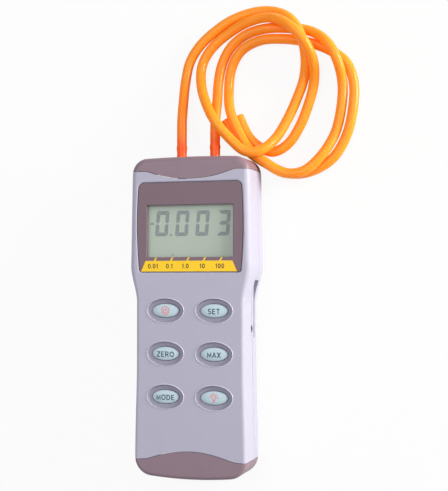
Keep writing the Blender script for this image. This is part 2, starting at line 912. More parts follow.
@dataclass
class EndCap:
    """One plum cap: its end wall, rounded edges and two flat faces.

    Attributes:
        end: Which end it closes.
        plan: The housing's plan.
        edge_steps: Steps round its edges.
        seam_points: Points across its seam.
    """

    end: End
    plan: HousingPlan = field(default_factory=HousingPlan)
    edge_steps: int = 10
    seam_points: int = 73

    def build(self) -> bpy.types.Object:
        """Make the cap as one skin.

        Returns:
            The cap's object.
        """
        plan, ports = self.plan, self.end is End.PORTS
        shift = GAP / 2 * self.end.value
        edge_y = TOP_Y - plan.top_seam_depth if ports else FOOT_Y + plan.foot_seam_depth
        edge_x = plan.half_width(np.array([edge_y]))[0]
        seam_y = float(plan.seam(self.end, np.array([edge_x]), shift)[0])
        path = plan.end_path(self.end, seam_y)
        skin = Skin()
        front_round = plan.head_round if ports else plan.grip_round
        rear = quarter_round(plan.rear_round, 0.0, -1, self.edge_steps)[::-1]
        front = quarter_round(front_round, FACE_Z, 1, self.edge_steps)
        profile = np.concatenate([rear, front]) * np.array([-1.0, 1.0])
        skin.ring(path, profile, (1.0, 0.0), closed=False)
        normal = path_normals(path, False)
        facing = np.array([0.0, -float(self.end.value), 0.0])
        for radius, z, up in ((front_round, FACE_Z, 1), (plan.rear_round, 0.0, -1)):
            rim = path - normal * radius
            reach = rim[0, 0]
            x = np.linspace(-reach, reach, self.seam_points)[1:-1]
            seam = np.stack([x, plan.seam(self.end, x, shift)], axis=1)
            skin.flat(np.concatenate([rim, seam]), [], z, up)
            whole = np.concatenate([rim[-1:], seam, rim[:1]])
            edge = np.column_stack([whole, np.full(len(whole), z)])
            seam_wall(skin, edge, up * UP, plan.seam_wall, facing)
        for index in (0, -1):
            point = path[index] + normal[index] * profile[:, 0:1]
            edge = np.column_stack([point, profile[:, 1]])
            seam_wall(skin, edge, np.array([*normal[index], 0.0]), plan.seam_wall, facing)
        name = "top_end_cap" if ports else "bottom_end_cap"
        cap = skin.build(name + "_skin", CAP, "cap_plastic")
        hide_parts(name)
        return cap


@dataclass
class KeySpot:
    """One key's place and printed face.

    Attributes:
        node: The key's node name.
        x: Its place across.
        y: Its place along.
        legend: Its word, or nothing for an icon.
    """

    node: str
    x: float
    y: float
    legend: str = ""


KEY_SPOTS = (
    KeySpot("key_power", -14.35, -1.8),
    KeySpot("key_record", 14.35, -1.8, "SET"),
    KeySpot("key_hold", -14.35, -26.1, "ZERO"),
    KeySpot("key_difference", 14.35, -26.1, "MAX"),
    KeySpot("key_unit", -14.35, -50.4, "MODE"),
    KeySpot("key_light", 14.35, -50.4),
)


def oval(x: float, y: float, half_length: Array, half_width: Array, z: Array,
         steps: int = 72) -> Array:
    """Ovals about one centre, stacked into a surface.

    Each oval is its half length times the cosine and its half width times the
    sine of the angle, at its own height.

    Args:
        x: The centre across.
        y: The centre along.
        half_length: Half lengths of shape (m,).
        half_width: Half widths of shape (m,).
        z: Heights of shape (m,).
        steps: Points round each oval.

    Returns:
        A surface of shape (steps, m, 3).
    """
    angle = np.linspace(0, 2 * math.pi, steps, endpoint=False)[:, None]
    return np.stack([x + half_length * np.cos(angle), y + half_width * np.sin(angle),
                     np.broadcast_to(z, (steps, len(z)))], axis=2)


@dataclass
class KeyDish:
    """The dished oval round a key, with a raised lip and a narrow groove.

    Attributes:
        half_length: Half the dish's length at its lip.
        half_width: Half its width.
        hole_length: Half the key hole's length.
        hole_width: Half its width.
        depth: How deep the dish's floor lies.
        lip: Width of the raised lip.
        rise: Height of the lip.
        fall: How much the floor slopes towards the hole.
        wave: Where the lip ends, as a share of a half wave.
        steep: Share of the bowl's width that its wall takes.
        turn: How far outside the hole the floor ends.
    """

    half_length: float = 10.75
    half_width: float = 6.75
    hole_length: float = 8.2
    hole_width: float = 4.1
    depth: float = 1.3
    lip: float = 0.55
    rise: float = 0.26
    fall: float = 0.2
    wave: float = 0.85
    steep: float = 0.2
    turn: float = 0.15

    def outer(self, spot: KeySpot) -> Array:
        """The dish's edge on the face, outside its lip.

        Args:
            spot: The key's place.

        Returns:
            Points of shape (n, 2).
        """
        edge = oval(spot.x, spot.y, np.array([self.half_length + self.lip]),
                    np.array([self.half_width + self.lip]), np.array([FACE_Z]))
        return edge[:, 0, :2]

    def rim(self, spot: KeySpot) -> bpy.types.Object:
        """The raised lip, a low half wave in section.

        Args:
            spot: The key's place.

        Returns:
            The lip's object.
        """
        share = np.linspace(0, 1, 9)
        out = self.lip * (1 - share)
        surface = oval(spot.x, spot.y, self.half_length + out, self.half_width + out,
                       FACE_Z + self.rise * np.sin(math.pi * share * self.wave))
        skin = Skin()
        skin.grid(surface, UP, closed=True)
        return skin.build(spot.node + "_lip", LIP, "case_plastic")

    def bowl(self, spot: KeySpot) -> bpy.types.Object:
        """The bowl inside the lip, down into the key's hole.

        Its wall falls along a quarter wave over the steep share of its width,
        and its floor slopes down evenly to the hole and turns into it.

        Args:
            spot: The key's place.

        Returns:
            The bowl's object.
        """
        share = np.concatenate([np.linspace(0, self.steep, 8),
                                np.linspace(self.steep + 0.08, 1, 8)])
        wall = np.sin(np.clip(share / self.steep, 0, 1) * QUARTER)
        slope = np.clip((share - self.steep) / (1 - self.steep), 0, 1)
        top = FACE_Z + self.rise * math.sin(math.pi * self.wave)
        floor = FACE_Z - self.depth
        z = top + (floor + self.fall - top) * wall - self.fall * slope
        length = self.half_length + (self.hole_length + self.turn - self.half_length) * share
        width = self.half_width + (self.hole_width + self.turn - self.half_width) * share
        inset = np.array([0.04, 0.0, 0.0])
        drop = np.array([0.06, 0.2, 1.1])
        surface = oval(spot.x, spot.y, np.concatenate([length, self.hole_length + inset]),
                       np.concatenate([width, self.hole_width + inset]),
                       np.concatenate([z, floor - drop]))
        skin = Skin()
        above = np.array([spot.x, spot.y, 2 * FACE_Z])
        skin.grid(surface, above - surface, closed=True)
        return skin.build(spot.node + "_dish", DISH, "case_plastic")


@dataclass
class BezelPlan:
    """The bezel's outline and view opening, in millimetres.

    Attributes:
        foot_y: Its edge towards the foot.
        height: Its height along the housing.
        foot: Its width towards the foot.
        middle: Its width at mid height.
        top: Its width towards the ports.
        top_radius: Rounding of its upper corners.
        foot_radius: Rounding of its lower corners.
        view_half: Half the view's width.
        view_low: The view's edge towards the foot.
        view_high: The view's edge towards the ports.
        view_radius: Rounding of the view's corners.
        face_z: Height of the plate's face.
    """

    foot_y: float = 20.0
    height: float = 50.8
    foot: float = 59.8
    middle: float = 62.6
    top: float = 60.6
    top_radius: float = 3.2
    foot_radius: float = 1.4
    view_half: float = 25.5
    view_low: float = 28.4
    view_high: float = 57.9
    view_radius: float = 0.5
    face_z: float = 29.8

    def outline(self, grow: float = 0.0) -> Array:
        """The bezel's loop, anticlockwise, moved outwards by grow.

        Its sides bow: the half width is the even taper plus a parabola that is
        nought at both ends.

        Args:
            grow: Distance to move outwards.

        Returns:
            Points of shape (n, 2).
        """
        share = np.linspace(0.04, 0.92, 24)
        level = self.foot / 2 * (1 - share) + self.top / 2 * share
        bow = (self.middle - (self.foot + self.top) / 2) / 2 * 4 * share * (1 - share)
        side = np.stack([level + bow, self.foot_y + self.height * share], axis=1)
        top_y = self.foot_y + self.height
        corners = np.concatenate([
            [[-self.foot / 2, self.foot_y], [self.foot / 2, self.foot_y]], side,
            [[self.top / 2, top_y], [-self.top / 2, top_y]],
            side[::-1] * np.array([-1.0, 1.0])])
        plain = [0.0] * len(side)
        radii = ([self.foot_radius] * 2 + plain + [self.top_radius] * 2 + plain)
        loop = rounded_loop(corners, radii)
        return loop + path_normals(loop, True) * grow

    def view(self, grow: float) -> Array:
        """The view opening's loop, anticlockwise.

        Args:
            grow: Distance to move outwards.

        Returns:
            Points of shape (n, 2).
        """
        half, low, high = self.view_half + grow, self.view_low - grow, self.view_high + grow
        return rounded_loop(box_corners(-half, half, low, high), [self.view_radius] * 4, 5)


@dataclass
class CaseHalf:
    """What the two case halves share: stations, side bands and seam walls.

    Attributes:
        plan: The housing's plan.
        pocket: The side pocket.
        shoulder_marks: Where the shoulder's curve starts and ends.
        seam_ends: Half widths where the sides meet the lower and upper seam.
        counts: Stations between the seams, the pocket's ends and the marks.
        seam_points: Points across each seam.
        turn_in: How far the skin turns in at the parting line.
    """

    plan: HousingPlan = field(default_factory=HousingPlan)
    pocket: SidePocket = field(default_factory=SidePocket)
    shoulder_marks: tuple[float, float] = (2.0, 26.0)
    seam_ends: tuple[float, float] = (33.0, 35.0)
    counts: tuple[int, ...] = (26, 10, 16, 14, 18)
    seam_points: int = 73
    turn_in: float = 1.6

    def stations(self) -> Array:
        """Places along the sides, from seam to seam, closer at the shoulder.

        Returns:
            Their y, of shape (n,).
        """
        foot, ports = (np.array([x]) for x in self.seam_ends)
        low = float(self.plan.seam(End.FOOT, foot, GAP / 2)[0])
        high = float(self.plan.seam(End.PORTS, ports, -GAP / 2)[0])
        marks = [low, self.pocket.low_y, self.shoulder_marks[0], self.pocket.high_y,
                 self.shoulder_marks[1], high]
        spans = [np.linspace(a, b, n, endpoint=False)
                 for a, b, n in zip(marks, marks[1:], self.counts)]
        return np.concatenate([*spans, [high]])

    def sides(self, skin: Skin, profile: Array, pocket_z: float) -> None:
        """Add both side bands, leaving out the side pocket on the right.

        Args:
            skin: The half's skin.
            profile: For each station, rows of inset and height from the parting
                line to the face, of shape (n, m, 2).
            pocket_z: Height of the pocket's edge in this half.
        """
        ys = self.stations()
        path = self.plan.side(ys)
        normal = path_normals(path, False)
        surface = np.concatenate([
            path[:, None, :] - normal[:, None, :] * profile[:, :, 0:1],
            profile[:, :, 1:2]], axis=2)
        outward = np.zeros_like(surface)
        outward[:, :, :2] = normal[:, None, :]
        middle_y = (ys[:-1] + ys[1:]) / 2
        in_y = (middle_y > self.pocket.low_y) & (middle_y < self.pocket.high_y)
        profile = profile[0]
        middle_z = (profile[:-1, 1] + profile[1:, 1]) / 2
        in_z = (middle_z > self.pocket.low_z) & (middle_z < self.pocket.high_z)
        in_z[0] = True
        keep = ~(in_y[:, None] & in_z[None, :])
        skin.grid(surface, outward, keep=keep)
        flip = np.array([-1.0, 1.0, 1.0])
        skin.grid(surface * flip, outward * flip)
        for index, facing in ((0, -1.0), (-1, 1.0)):
            for side in (np.ones(3), flip):
                seam_wall(skin, surface[index] * side, outward[index] * side,
                          self.plan.seam_wall, np.array([0.0, facing, 0.0]))
        inside = ys[(ys >= self.pocket.low_y - 1e-9) & (ys <= self.pocket.high_y + 1e-9)]
        self.pocket.line(skin, self.plan, inside, profile[1, 1], pocket_z)

    def face(self, skin: Skin, radius: Array, z: float, up: int,
             holes: Sequence[Array]) -> None:
        """Add the flat face between the bands and the seams.

        Args:
            skin: The half's skin.
            radius: Rounding between side and face at each station.
            z: The face's height.
            up: 1 for the front, -1 for the back.
            holes: Loops left open in the face.
        """
        path = self.plan.side(self.stations())
        rim = path - path_normals(path, False) * radius[:, None]
        parts = [rim]
        for end, shift, sign in ((End.PORTS, -GAP / 2, -1.0), (End.FOOT, GAP / 2, 1.0)):
            reach = rim[-1, 0] if end is End.PORTS else rim[0, 0]
            x = np.linspace(-reach, reach, self.seam_points)[1:-1] * sign
            seam = np.stack([x, self.plan.seam(end, x, shift)], axis=1)
            whole = np.concatenate([[[-reach * sign, seam[0, 1]]], seam,
                                    [[reach * sign, seam[-1, 1]]]])
            edge = np.column_stack([whole, np.full(len(whole), z)])
            seam_wall(skin, edge, up * UP, self.plan.seam_wall, np.array([0.0, -sign, 0.0]))
            parts.append(seam)
            if end is End.PORTS:
                parts.append(rim[::-1] * np.array([-1.0, 1.0]))
        skin.flat(np.concatenate(parts), holes, z, up)


@dataclass
class PocketSeal:
    """The dark seal on the side pocket's rear wall and upper end.

    Attributes:
        plan: The housing's plan.
        pocket: The pocket.
        lift: Thickness of the seal.
        below: How far it stays under the housing's side.
    """

    plan: HousingPlan = field(default_factory=HousingPlan)
    pocket: SidePocket = field(default_factory=SidePocket)
    lift: float = 0.3
    below: float = 0.08

    def build(self) -> bpy.types.Object:
        """Make the seal: a face, an outer edge and a turned up end.

        Returns:
            The seal's object.
        """
        pocket = self.pocket
        ys = np.linspace(pocket.low_y, pocket.high_y - self.lift, 48)
        outer = self.plan.half_width(ys) - self.below
        rows = []
        for x, z in ((np.full(len(ys), pocket.floor_x), pocket.low_z + self.lift),
                     (outer, pocket.low_z + self.lift), (outer, pocket.low_z)):
            rows.append(np.stack([x, ys, np.full(len(ys), z)], axis=1))
        skin = Skin()
        skin.grid(np.stack(rows[:2], axis=1), UP)
        skin.grid(np.stack(rows[1:], axis=1), np.array([1.0, 0.0, 0.0]))
        y = pocket.high_y - self.lift
        end = np.array([[[x, y, z] for z in (pocket.low_z + self.lift, pocket.high_z)]
                        for x in (pocket.floor_x, outer[-1])])
        skin.grid(end, np.array([0.0, -1.0, 0.0]))
        edge = end[1][:, None, :] + np.array([[0.0, 0.0, 0.0], [0.0, self.lift, 0.0]])
        skin.grid(edge, np.array([1.0, 0.0, 0.0]))
        return skin.build("pocket_seal", POCKET, "black_plastic")


@dataclass
class FrontCase(CaseHalf):
    """The front half, with the bezel's seat and the key dishes.

    Attributes:
        bezel: The bezel's plan.
        dish: The dish round each key.
        side_marks: Heights of two more rows of points on the sides.
        edge_steps: Steps round the front edges.
        seat_gap: Gap round the bezel at the face.
        seat_fall: Width and depth of the rounding into that gap.
        seat_floor: Rows of inset and height of the seat under the bezel.
    """

    bezel: BezelPlan = field(default_factory=BezelPlan)
    dish: KeyDish = field(default_factory=KeyDish)
    side_marks: tuple[float, float] = (21.0, 25.0)
    edge_steps: int = 10
    seat_gap: float = 1.0
    seat_fall: tuple[float, float] = (0.7, 0.5)
    seat_floor: tuple[tuple[float, float], ...] = ((-0.7, 28.5), (-3.4, 28.4))

    def build(self) -> bpy.types.Object:
        """Make the front half as one skin.

        Returns:
            The front case's object.
        """
        skin = Skin()
        low = PARTING_Z + GAP / 2
        radius = self.plan.front_round(self.stations())
        rise = np.array([[self.turn_in, low], [0.0, low], [0.0, self.pocket.high_z],
                         *([0.0, z] for z in self.side_marks)])
        angle = np.linspace(0, QUARTER, self.edge_steps + 1)
        edge = np.stack([radius[:, None] * (1 - np.cos(angle)),
                         FACE_Z - radius[:, None] * (1 - np.sin(angle))], axis=2)
        profile = np.concatenate([np.broadcast_to(rise, (len(radius), *rise.shape)), edge],
                                 axis=1)
        self.sides(skin, profile, self.pocket.high_z)
        seat_edge = self.bezel.outline(self.seat_gap)
        holes = [seat_edge] + [self.dish.outer(spot) for spot in KEY_SPOTS]
        self.face(skin, radius, FACE_Z, 1, holes)
        turn = np.linspace(0, QUARTER, 7)
        fillet = np.stack([-self.seat_fall[0] * np.sin(turn),
                           FACE_Z - self.seat_fall[1] * (1 - np.cos(turn))], axis=1)
        skin.ring(seat_edge, np.concatenate([fillet, self.seat_floor]), (-1.0, 1.0))
        for spot in KEY_SPOTS:
            for obj in (self.dish.rim(spot), self.dish.bowl(spot)):
                log.info("made %s", obj.name)
        case = skin.build("front_case_skin", CASE, "case_plastic")
        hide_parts("front_case")
        return case


@dataclass
class RearCase(CaseHalf):
    """The rear half, with the battery door's seat and the screw wells.

    Attributes:
        side_mark: Height of one more row of points on the sides.
        edge_steps: Steps round the rear edges.
        wells: Middles of the screw wells.
        well_radius: Radius of a well.
        well_depth: Depth of a well.
        well_step: Width of the step at its bottom.
        door_half: Half the width of the door's seat.
        door_low: The seat's edge towards the foot.
        door_high: The seat's edge towards the ports.
        door_radius: Rounding of the seat's corners.
        door_depth: Depth of the seat.
        door_step: Width of the ledge in it.
    """

    side_mark: float = 6.0
    edge_steps: int = 12
    wells: tuple[tuple[float, float], ...] = (
        (-26.5, 69.0), (26.5, 69.0), (-26.5, -54.0), (26.5, -54.0))
    well_radius: float = 2.7
    well_depth: float = 6.0
    well_step: float = 1.2
    door_half: float = 15.0
    door_low: float = -74.1
    door_high: float = -13.5
    door_radius: float = 2.8
    door_depth: float = 2.1
    door_step: float = 2.0

    def build(self) -> bpy.types.Object:
        """Make the rear half as one skin.

        Returns:
            The rear case's object.
        """
        skin = Skin()
        high = PARTING_Z - GAP / 2
        fall = np.array([[self.turn_in, high], [0.0, high], [0.0, self.pocket.low_z],
                         [0.0, self.side_mark]])
        edge = quarter_round(self.plan.rear_round, 0.0, -1, self.edge_steps)
        profile = np.concatenate([fall, edge])
        radius = np.full(len(self.stations()), self.plan.rear_round)
        self.sides(skin, np.broadcast_to(profile, (len(radius), *profile.shape)),
                   self.pocket.low_z)
        door = rounded_loop(box_corners(-self.door_half, self.door_half, self.door_low,
                                        self.door_high), [self.door_radius] * 4)
        angle = np.linspace(0, 2 * math.pi, 32, endpoint=False)
        circle = np.stack([np.cos(angle), np.sin(angle)], axis=1)
        wells = [np.array(well) + circle * self.well_radius for well in self.wells]
        self.face(skin, radius, 0.0, -1, [door, *wells])
        sinks = [(door, self.door_depth, self.door_step)]
        sinks += [(well, self.well_depth, self.well_step) for well in wells]
        for loop, depth, step in sinks:
            profile = np.array([[0.0, 0.0], [0.0, depth], [-step, depth]])
            skin.ring(loop, profile, (-1.0, -1.0))
        case = skin.build("rear_case_skin", CASE, "case_plastic")
        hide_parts("rear_case")
        return case


# Display

@dataclass
class Bezel:
    """The plum plate round the view, and the yellow strip under it.

    Attributes:
        plan: The bezel's plan.
        rim: Rounding of the plate's outer edge.
        side: Height of the plate's outer edge.
        slope: Rows of inset and depth of the edge round the view.
        strip_foot: The strip's ends across at its foot.
        strip_top: The strip's ends across at its top.
        strip_low: The strip's edge towards the foot.
        strip_high: The strip's edge towards the ports.
        strip_lift: How far the strip's face stands over the plate.
        strip_sink: How far its wall goes into the plate.
        tick_width: Width of a tick.
        tick_height: Height of a tick over the strip.
        tick_lean: How far a tick's top leans to the right.
        ticks: Places of the ticks across.
        words: Each number and its place across.
        word_y: Middle of the numbers along the housing.
        word_size: Height of the numbers.
        stroke: Width of their strokes.
    """

    plan: BezelPlan = field(default_factory=BezelPlan)
    rim: float = 0.25
    side: float = 1.05
    slope: tuple[tuple[float, float], ...] = (
        (0.0, 0.0), (-0.12, -0.04), (-0.35, -0.45), (-0.35, -1.1))
    strip_foot: tuple[float, float] = (-29.0, 27.9)
    strip_top: tuple[float, float] = (-26.3, 25.2)
    strip_low: float = 20.3
    strip_high: float = 26.35
    strip_lift: float = 0.07
    strip_sink: float = 0.05
    tick_width: float = 1.0
    tick_height: float = 1.85
    tick_lean: float = 1.1
    ticks: tuple[float, ...] = (-20.85, -11.1, -1.35, 8.3, 18.0)
    words: tuple[tuple[str, float], ...] = (
        ("0.01", -21.8), ("0.1", -11.9), ("1.0", -2.4), ("10", 7.6), ("100", 17.9))
    word_y: float = 23.35
    word_size: float = 2.55
    stroke: float = 0.5

    def plate(self) -> bpy.types.Object:
        """The plate, with a softened rim and a sloped edge round the view.

        Returns:
            The plate's object.
        """
        skin = Skin()
        z = self.plan.face_z
        slope = np.array(self.slope) + [0.0, z]
        outline = self.plan.outline(-self.rim)
        view = self.plan.view(-slope[-1, 0])
        skin.flat(outline, [view], z, 1, margin=0.1)
        turn = np.linspace(0, QUARTER, 6)
        rim = np.stack([self.rim * np.sin(turn), z - self.rim * (1 - np.cos(turn))], axis=1)
        skin.ring(outline, np.concatenate([rim, [[self.rim, z - self.side]]]), (1.0, 0.5))
        skin.ring(view, slope, (-1.0, 0.5))
        plate = skin.build("bezel_plate", BEZEL, "bezel_plastic")
        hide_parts("display_bezel")
        return plate

    def strip_outline(self) -> Array:
        """The strip's loop: a low trapezium with leaning ticks above it.

        Returns:
            Points of shape (n, 2), anticlockwise.
        """
        points = [[self.strip_foot[0], self.strip_low], [self.strip_foot[1], self.strip_low],
                  [self.strip_top[1], self.strip_high]]
        half = self.tick_width / 2
        for x in reversed(self.ticks):
            points += [[x + half, self.strip_high],
                       [x + half + self.tick_lean, self.strip_high + self.tick_height],
                       [x - half + self.tick_lean, self.strip_high + self.tick_height],
                       [x - half, self.strip_high]]
        points.append([self.strip_top[0], self.strip_high])
        return np.array(points)

    def strip(self) -> bpy.types.Object:
        """The yellow strip, a thin foil on the plate.

        Returns:
            The strip's object.
        """
        skin = Skin()
        loop = self.strip_outline()
        top, bottom = self.plan.face_z + self.strip_lift, self.plan.face_z - self.strip_sink
        skin.flat(loop, [], top, 1, margin=0.03)
        wall = np.stack([np.column_stack([loop, np.full(len(loop), z)])
                         for z in (top, bottom)], axis=1)
        normal = path_normals(loop, True)
        skin.grid(wall, np.column_stack([normal, np.zeros(len(loop))])[:, None, :],
                  closed=True)
        strip = skin.build("unit_strip_foil", STRIP, "strip_yellow", crease=20.0)
        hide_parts("unit_strip")
        return strip

    def numbers(self) -> list[bpy.types.Object]:
        """The strip's printed numbers.

        Returns:
            One object for each number.
        """
        made = []
        z = self.plan.face_z + self.strip_lift + INK_LIFT
        for index, (word, x) in enumerate(self.words, start=1):
            drawing = Drawing(self.stroke)
            drawing.write(word, x, self.word_y, self.word_size)
            made.append(drawing.build(f"strip_number_{index}",
                                      lambda points: np.full(len(points), z),
                                      STRIP_INK, "strip_yellow", METER))
        return made


def ellipse(x: float, y: float, half_width: float, half_height: float, start: float,
            stop: float, steps: int = 20) -> Array:
    """Points on an ellipse between two angles.

    Args:
        x: Its middle across.
        y: Its middle along.
        half_width: Half its width.
        half_height: Half its height.
        start: First angle in degrees.
        stop: Last angle in degrees.
        steps: Steps between them.

    Returns:
        Points of shape (steps + 1, 2).
    """
    angle = np.radians(np.linspace(start, stop, steps + 1))
    return np.stack([x + half_width * np.cos(angle), y + half_height * np.sin(angle)],
                    axis=1)


def chain(*parts: object) -> Array:
    """Points and runs of points joined into one line of shape (n, 2)."""
    return np.concatenate([np.atleast_2d(np.asarray(part, float)) for part in parts])


def glyphs() -> dict[str, tuple[float, list[Array]]]:
    """The drawn characters: each one's width and strokes, one unit tall.

    Returns:
        Width and stroke centrelines by character.
    """
    return {
        "S": (0.68, [chain(ellipse(0.34, 0.715, 0.25, 0.215, 30, 262),
                           ellipse(0.34, 0.285, 0.27, 0.215, 82, -152))]),
        "E": (0.64, [chain((0.58, 0.93), (0.09, 0.93), (0.09, 0.07), (0.6, 0.07)),
                     chain((0.09, 0.51), (0.53, 0.51))]),
        "T": (0.68, [chain((0.03, 0.93), (0.65, 0.93)), chain((0.34, 0.93), (0.34, 0.0))]),
        "Z": (0.68, [chain((0.07, 0.93), (0.6, 0.93), (0.07, 0.07), (0.63, 0.07))]),
        "R": (0.72, [chain((0.09, 0.0), (0.09, 0.93), (0.38, 0.93),
                           ellipse(0.38, 0.705, 0.23, 0.225, 80, -80, 12),
                           (0.38, 0.48), (0.09, 0.48)),
                     chain((0.38, 0.48), (0.66, 0.0))]),
        "O": (0.84, [ellipse(0.42, 0.5, 0.34, 0.43, 0, 360, 36)]),
        "M": (0.84, [chain((0.09, 0.0), (0.09, 0.9), (0.42, 0.2), (0.75, 0.9),
                           (0.75, 0.0))]),
        "A": (0.76, [chain((0.04, 0.0), (0.38, 0.95), (0.72, 0.0)),
                     chain((0.15, 0.32), (0.61, 0.32))]),
        "X": (0.70, [chain((0.05, 0.0), (0.65, 1.0)), chain((0.65, 0.0), (0.05, 1.0))]),
        "D": (0.76, [chain((0.09, 0.07), (0.09, 0.93), (0.32, 0.93),
                           ellipse(0.32, 0.5, 0.35, 0.43, 80, -80, 16),
                           (0.32, 0.07), (0.09, 0.07))]),
        "0": (0.62, [ellipse(0.31, 0.5, 0.23, 0.43, 0, 360, 32)]),
        "1": (0.40, [chain((0.06, 0.72), (0.26, 0.9), (0.26, 0.0))]),
        ".": (0.18, [chain((0.09, 0.0), (0.09, 0.15))]),
    }


@dataclass
class Drawing:
    """Strokes of one width, drawn flat and then laid on a surface.

    Attributes:
        width: Width of the strokes in millimetres.
        strokes: Centrelines in millimetres.
        sharpest: Least cosine of half a turn that a mitre follows.
        layer: How far each stroke lies over the one before.
    """

    width: float
    strokes: list[Array] = field(default_factory=list)
    sharpest: float = 0.45
    layer: float = 0.003

    def write(self, word: str, x: float, y: float, size: float, space: float = 0.17) -> None:
        """Add a word's strokes.

        Args:
            word: The word.
            x: Its middle across.
            y: Its middle along.
            size: Height of its capitals.
            space: Space between characters as a share of that height.
        """
        shapes = glyphs()
        total = sum(shapes[letter][0] for letter in word) + space * (len(word) - 1)
        pen = x / size - total / 2
        for letter in word:
            width, lines = shapes[letter]
            self.strokes += [(line + [pen, y / size - 0.5]) * size for line in lines]
            pen += width + space

    def ribbon(self, line: Array) -> Array:
        """A stroke's two edges, mitred where it turns.

        The edges lie half a width to both sides of each point, along the mean
        of the neighbouring normals, and further out by one over the cosine of
        half the turn.

        Args:
            line: The centreline of shape (n, 2).

        Returns:
            The edges, of shape (n, 2, 2).
        """
        closed = np.allclose(line[0], line[-1])
        step = np.diff(line, axis=0)
        step /= np.linalg.norm(step, axis=1, keepdims=True)
        side = np.stack([step[:, 1], -step[:, 0]], axis=1)
        before = np.concatenate([side[-1:] if closed else side[:1], side])
        after = np.concatenate([side, side[:1] if closed else side[-1:]])
        mean = before + after
        mean /= np.linalg.norm(mean, axis=1, keepdims=True)
        cosine = np.maximum(np.sum(mean * after, axis=1, keepdims=True), self.sharpest)
        offset = mean * self.width / 2 / cosine
        return np.stack([line - offset, line + offset], axis=1)

    def build(self, name: str, height: Callable[[Array], Array], finish: Finish, slot: str,
              body: str) -> bpy.types.Object:
        """Lay the strokes on a surface as one thin mesh.

        Args:
            name: The object's name.
            height: Gives the surface's height for points of shape (n, 2).
            finish: The ink.
            slot: The record's material slot.
            body: The body that carries the print.

        Returns:
            The print's object.
        """
        skin = Skin()
        share = np.linspace(0, 1, 9)[:, None, None]
        for order, line in enumerate(self.strokes):
            edges = self.ribbon(line)
            fine = edges[:-1, None] * (1 - share) + edges[1:, None] * share
            edges = fine.reshape(-1, 2, 2)
            z = height(edges.reshape(-1, 2)).reshape(edges.shape[:2]) + self.layer * order
            skin.grid(np.concatenate([edges, z[:, :, None]], axis=2), UP)
        return skin.build(name, finish, slot, body)


class Segment(Enum):
    """The seven bars of a display digit, as ends on a grid one wide and two tall."""

    TOP = ((0, 2), (1, 2))
    UPPER_RIGHT = ((1, 2), (1, 1))
    LOWER_RIGHT = ((1, 1), (1, 0))
    BOTTOM = ((1, 0), (0, 0))
    LOWER_LEFT = ((0, 0), (0, 1))
    UPPER_LEFT = ((0, 1), (0, 2))
    MIDDLE = ((0, 1), (1, 1))


DIGIT_SEGMENTS = {
    "0": tuple(segment for segment in Segment if segment is not Segment.MIDDLE),
    "3": (Segment.TOP, Segment.UPPER_RIGHT, Segment.MIDDLE, Segment.LOWER_RIGHT,
          Segment.BOTTOM),
}


